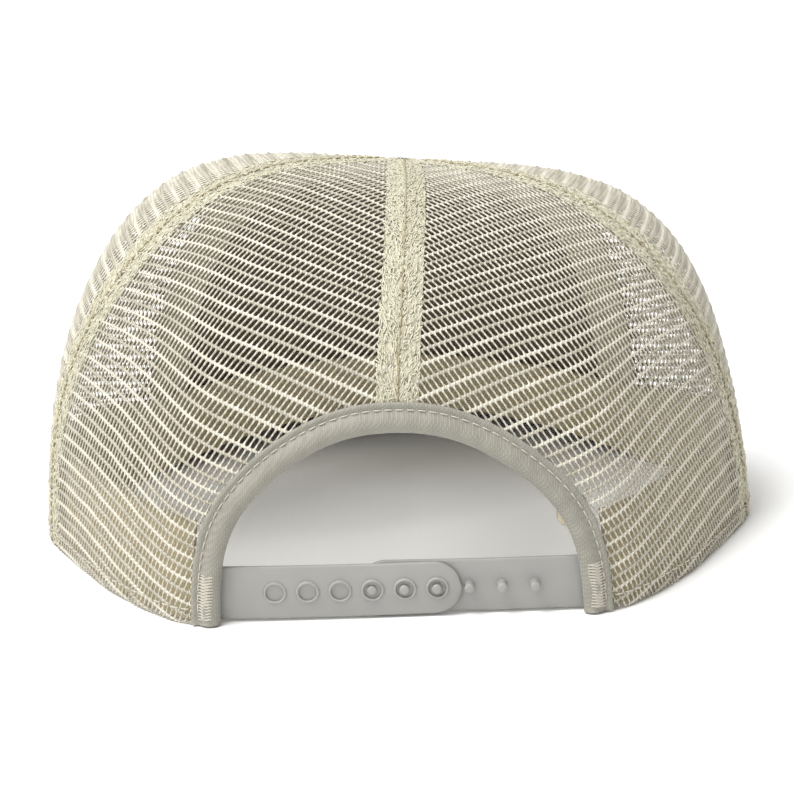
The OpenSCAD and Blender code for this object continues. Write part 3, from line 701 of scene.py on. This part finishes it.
def strap_plate(root, end, toward, bores):
    """Closed plate with rounded edges from its root to its round end, bored through."""
    u = np.linspace(0, 1, 90)
    x = root + (end + toward * STRAP_H / 2 - root) * u
    reach = np.clip((x - end) * toward / (STRAP_H / 2), 0, 0.9995)
    half = STRAP_H / 2 * np.sqrt(1 - reach ** 2)
    # The plate in section, as (share of its half height, out), 14 points round
    edge = np.array([[1, -0.45], [0.96, -0.1], [0.9, 0], [0, 0], [-0.9, 0], [-0.96, -0.1],
                     [-1, -0.45], [-1, -0.85], [-0.96, -1.2], [-0.9, -1.3], [0, -1.3], [0.9, -1.3],
                     [0.96, -1.2], [1, -0.85]])
    z = STRAP_MID + edge[None, :, 0] * half[:, None]
    skin = strap_point(x[:, None], z, np.broadcast_to(edge[None, :, 1], z.shape))
    skin[..., 1] += 0.04 * np.sin(x * 0.21)[:, None]
    n = len(u)
    faces = list(quads(n, 14, turn=toward > 0, closed=True))
    ends = tube_ends(n, 14)
    faces += [end[::-1] for end in ends] if toward > 0 else ends
    plate = piece("plate", skin.reshape(-1, 3), faces, milky, body=None)
    if bores:
        turns = np.linspace(0, 2 * math.pi, 48, endpoint=False)
        drums = []
        for bx in bores:
            tube = [strap_point(bx + np.cos(turns) * HOLE_D / 2,
                                STRAP_MID + np.sin(turns) * HOLE_D / 2, o) for o in (-4.0, 4.0)]
            drums.append((np.concatenate(tube),
                          quads(2, 48, closed=True).tolist() + tube_ends(2, 48)))
        drum = piece("drums", *joined(drums), milky, body=None)
        for part in (plate, drum):
            mesh = bmesh.new()
            mesh.from_mesh(part.data)
            bmesh.ops.recalc_face_normals(mesh, faces=mesh.faces)
            mesh.to_mesh(part.data)
            mesh.free()
        cut = plate.modifiers.new("bores", "BOOLEAN")
        cut.object, cut.operation, cut.solver = drum, "DIFFERENCE", "EXACT"
        bpy.context.view_layer.update()
        ready = plate.evaluated_get(bpy.context.evaluated_depsgraph_get()).to_mesh()
        points = np.array([v.co[:] for v in ready.vertices]) * 1000
        faces = [list(p.vertices) for p in ready.polygons]
        bpy.data.objects.remove(drum)
    else:
        points = np.array([v.co[:] for v in plate.data.vertices]) * 1000
    bpy.data.objects.remove(plate)
    return points, faces


def lathe(x, section):
    """Solid turned about the line through the strap at x, from (radius, out) pairs."""
    turns = np.linspace(0, 2 * math.pi, 40, endpoint=False)
    rings = [strap_point(x + np.cos(turns) * max(r, 0.02),
                         STRAP_MID + np.sin(turns) * max(r, 0.02), o) for r, o in section]
    n = len(section)
    return np.concatenate(rings), quads(n, 40, closed=True).tolist() + tube_ends(n, 40)


def strap_half(name, node, parts, lean=0.0):
    """One half of the strap, turned in by lean at its root."""
    points, faces = joined(parts)
    if lean:
        c, s = math.cos(lean), math.sin(lean)
        off = points[:, :2] - pivot
        points[:, :2] = pivot + np.stack([off[:, 0] * c + off[:, 1] * s,
                                          off[:, 1] * c - off[:, 0] * s], -1)
    half = piece(name, worn(points), faces, milky, body=None)
    half.data.set_sharp_from_angle(angle=math.radians(50))
    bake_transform(half)
    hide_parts(node)


hole_x = [HOLE_X0 + i * PITCH for i in range(6)]
peg_x = [HOLE_X0 + (SNAPPED - 1 - i) * PITCH for i in range(6)]
# The raised rim of a hole and a domed peg in section, as (radius, out).
rim_section = [(2.5, -1.0), (2.5, 0.35), (2.62, 0.55), (2.85, 0.6), (3.1, 0.5), (3.3, 0.1),
               (3.35, -0.3)]
peg_section = [(1.5, -1.0), (1.5, 0.1), (1.36, 0.35), (1.3, 0.9), (1.34, 2.2), (1.4, 2.7),
               (1.3, 3.05), (1.0, 3.25), (0.5, 3.35), (0.0, 3.37)]
parts = [strap_plate(STRAP_ROOT + 1.5, HOLE_X0 + 1, -1, hole_x)]
parts += [lathe(x, rim_section) for x in hole_x]
FOLDS = {j["name"]: j["pos_m"] for j in frame["record"]["behaviour"]["joints"]}
strap_half("strap_with_holes", "snap_strap_holes", parts)
pivot = np.array([-STRAP_ROOT, STRAP_Y - arc + math.sqrt(arc ** 2 - STRAP_ROOT ** 2)])
lean = math.asin((STRAP_T + GAP) / (STRAP_ROOT + HOLE_X0 - STRAP_H / 2))
parts = [strap_plate(-STRAP_ROOT - 1.5, peg_x[0] - 4, 1, [])]
parts += [lathe(x, peg_section) for x in peg_x]
strap_half("strap_with_pegs", "snap_strap_pegs", parts,
           lean)

# ---- Visor ------------------------------------------------------------------------------------
# A moulded board between two layers of the front's twill, sewn together in rows that follow the
# edge, and sewn with the front panel to the sweatband. It is curved up in the middle.
VISOR_L, VISOR_HALF, BOARD_T, SKIN_T = 70.0, 82.0, 1.8, 0.7
# The visor's root runs this many degrees round each way, and its ends are this far forward.
ROOT_TURN, END_Y = 68, -64
# The covers are cut this much wider than the board.
EDGE_LAP = 0.6


def visor(v, w, grow):
    """Plan point of the visor: v from side to side, w from the rim to the edge."""
    v, w = np.broadcast_arrays(np.asarray(v, float), np.asarray(w, float))
    start = block(180 - v * ROOT_TURN, 0)
    start = start - facing(180 - v * ROOT_TURN, 0 * v) * 0.3
    t = np.radians(v * 90)
    ex = (VISOR_HALF + grow) * np.sign(v) * np.abs(np.sin(t)) ** 0.8
    ey = END_Y - (FRONT_Y + VISOR_L + END_Y + grow) * np.abs(np.cos(t)) ** 0.8
    x, y = start[..., 0] + (ex - start[..., 0]) * w, start[..., 1] + (ey - start[..., 1]) * w
    return x, y, camber(x)


def visor_grid(v, w, grow, z):
    """Points of the visor z above its underside, which is curved up in the middle."""
    x, y, rise = visor(v, w, grow)
    return worn(np.stack([x, y, rise + z], -1))


across = np.linspace(1, -1, 141)[:, None]
depth = np.linspace(0, 1, 33)[None, :]
near_edge = np.clip(np.minimum((1 - depth) / 0.06, (1 - np.abs(across)) / 0.03), 0, 1)
rounded = np.sqrt(1 - (1 - near_edge) ** 2)
# Where the six rows of stitches lie, as shares of the way out to the edge.
row_w = np.array([0.2, 0.35, 0.5, 0.65, 0.8, 0.93])
sunk_rows = 0.16 * np.exp(-((depth[..., None] - row_w) / 0.012) ** 2).sum(-1)
low, high = 0.05, 2 * SKIN_T + BOARD_T + 0.2
mid = (low + high) / 2
top_skin = mid + (high - mid) * (0.02 + 0.98 * rounded) - sunk_rows * rounded
under_skin = mid - (mid - low) * (0.02 + 0.98 * rounded) + sunk_rows * rounded
for name, node, outer, inner in (
        ("visor_top_twill", "visor_top_cover", top_skin, mid + 0.9 * rounded),
        ("visor_under_twill", "visor_under_cover", under_skin, mid - 0.9 * rounded)):
    first = visor_grid(across, depth, EDGE_LAP, outer)
    points, faces = slab(first, visor_grid(across, depth, EDGE_LAP - 0.1, inner))
    if node == "visor_top_cover":
        faces = [list(f)[::-1] for f in faces]
    skin = piece(name, points, faces, brown_twill)
    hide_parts(node)
# High-density polyethylene sheet, cut and heat formed: smooth and milky, hidden by the twill.
# It stops short of the covers' edge, so that their edges meet round it.
board_sheet, _ = surface("polyethylene_board", Base_Color=linear("#D8D8D4"), Roughness=0.4)
top_face, under_face = (visor_grid(across * 0.96, depth * 0.92, 0, mid + z) for z in (0.85, -0.85))
board = piece("visor_board_sheet", *slab(top_face, under_face), board_sheet)
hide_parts("visor_board")
# Polyester thread dyed to match the twill: smooth, with a soft shine.
brown_thread, _ = surface("brown_polyester_thread", Base_Color=linear("#453529"), Roughness=0.5,
                          Sheen_Weight=0.2)
rows = []
v = np.linspace(0.985, -0.985, 500)
for w in row_w:
    for z, way in ((high - 0.1, 1), (low + 0.1, -1)):
        path = visor_grid(v, w, EDGE_LAP, z)
        rows.append(stitches(path, np.broadcast_to([0, 0, float(way)], path.shape), 2.7, 0.9, 0.4))
# Two more rows hold the front panel's edge, 2 and 5.5 mm from each front seam.
h = np.linspace(1, 80, 160)
for side in (-1, 1):
    for off in (2.0, 5.5):
        at = beside(FRONT_SEAM, h, off, 6)
        rows.append(stitches(*away(side * at, h, 0.36), 2.7, 0.9, 0.4))
top_thread = piece("front_and_visor_stitching", *joined(rows), brown_thread)

# ---- Label ------------------------------------------------------------------------------------
# A blank tab of woven cotton tape, folded and caught behind the right leg of the binding; its
# rounded end shows in the opening.
LABEL_H, LABEL_L, LABEL_T, LABEL_Z = 9.0, 8.0, 0.5, 24
# Plain woven cotton tape: cream and matt, with a close even weave.
woven_tape = woven("plain_woven_tape", "#B5AA8A", "#DAD2BA", 0.7, 0.08, 0.8, 0.2, diagonal=False)
u = np.linspace(0, 1, 17)[:, None]
v = np.linspace(-1, 1, 15)[None, :]
tab_x = -(ARCH_W + 2) + LABEL_L * u
half = LABEL_H / 2 * (1 - 0.55 * np.clip((u - 0.7) / 0.3, 0, 1) ** 2.5)
curl = 0.35 * u ** 2 * (0.4 + 0.6 * v ** 2)
tab_y = FOLDS["label_flip"][1] * 1000
tab_z = LABEL_Z + LABEL_H / 2 + half * v
face, back = (worn(np.stack(np.broadcast_arrays(tab_x, tab_y - curl - k * LABEL_T, tab_z), -1))
              for k in (0, 1))
points, faces = slab(face, back)
tab = piece("blank_tab", points, [list(f)[::-1] for f in faces], woven_tape, body="label")
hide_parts("blank_label")

# ---- Rim hem ----------------------------------------------------------------------------------
# The net's lower edge is turned in at the rim and sewn, from each leg of the binding round to the
# front seam. Only the line of stitches, 4 mm up, is a piece of its own.
HEM_Z = 4.0
hem_a = np.linspace(band_a0, FRONT_SEAM - 0.5, 400)
rows = [stitches(*away(side * hem_a, up_of(HEM_Z), 0.32), 2.6, 1.0, 0.42) for side in (-1, 1)]
hem_thread = piece("hem_stitching", *joined(rows), pale_thread)

# ---- Table, light and camera ------------------------------------------------------------------
# The cap stands on its rim on a plain white table under a large soft light, above and a little to
# the left. A weaker one is low on the left, behind the camera, which looks at the cap's back from
# a little above. The table's top is just under the rim.
white, _ = surface("white_table", Base_Color=linear("#F4F4F3"), Roughness=0.8,
                   Specular_IOR_Level=0.1)
TABLE_HALF = 1800
table = piece("table", [[x * TABLE_HALF, y * TABLE_HALF, 0]
                        for x, y in ((-1, -1), (1, -1), (1, 1), (-1, 1))],
              [[0, 1, 2, 3]], white, body=None)
table.location.z = -0.0006


def lamp(name, place, size, power):
    """Square soft light, with its place and size in metres, that faces the cap."""
    data = bpy.data.lights.new(name, "AREA")
    data.size, data.energy = size, power
    obj = bpy.data.objects.new(name, data)
    bpy.context.collection.objects.link(obj)
    obj.location = place
    obj.rotation_euler = (Vector((0, 0, 0.04)) - Vector(place)).to_track_quat("-Z", "Y").to_euler()


lamp("key", (0.6, 0.35, 1.6), 0.8, 30)
lamp("fill", (0.9, 1.4, 0.7), 1.2, 7)
world = bpy.data.worlds.new("room")
world.use_nodes = True
world.node_tree.nodes["Background"].inputs[0].default_value = (1, 1, 1, 1)
world.node_tree.nodes["Background"].inputs[1].default_value = 0.75
bpy.context.scene.world = world
bpy.context.scene.view_settings.view_transform = "Standard"

# The camera's tilt down and its roll, and the point that it looks at from 1 m away.
tilt, roll = math.radians(17.86), math.radians(-1.99)
looked_at = Vector((-0.00061, 0, 0.03945))
back = Vector((0, math.cos(tilt), math.sin(tilt)))
right, up = Vector((-1, 0, 0)), Vector((0, -math.sin(tilt), math.cos(tilt)))
right, up = right * math.cos(roll) + up * math.sin(roll), up * math.cos(roll) - right * math.sin(roll)
camera = bpy.data.objects.new("camera", bpy.data.cameras.new("camera"))
camera.data.sensor_width, camera.data.lens = 36, 152.4
camera.data.clip_start, camera.data.clip_end = 0.05, 20
camera.matrix_world = (Matrix.Translation(looked_at + back)
                       @ Matrix((right, up, back)).transposed().to_4x4())
bpy.context.collection.objects.link(camera)
bpy.context.scene.camera = camera
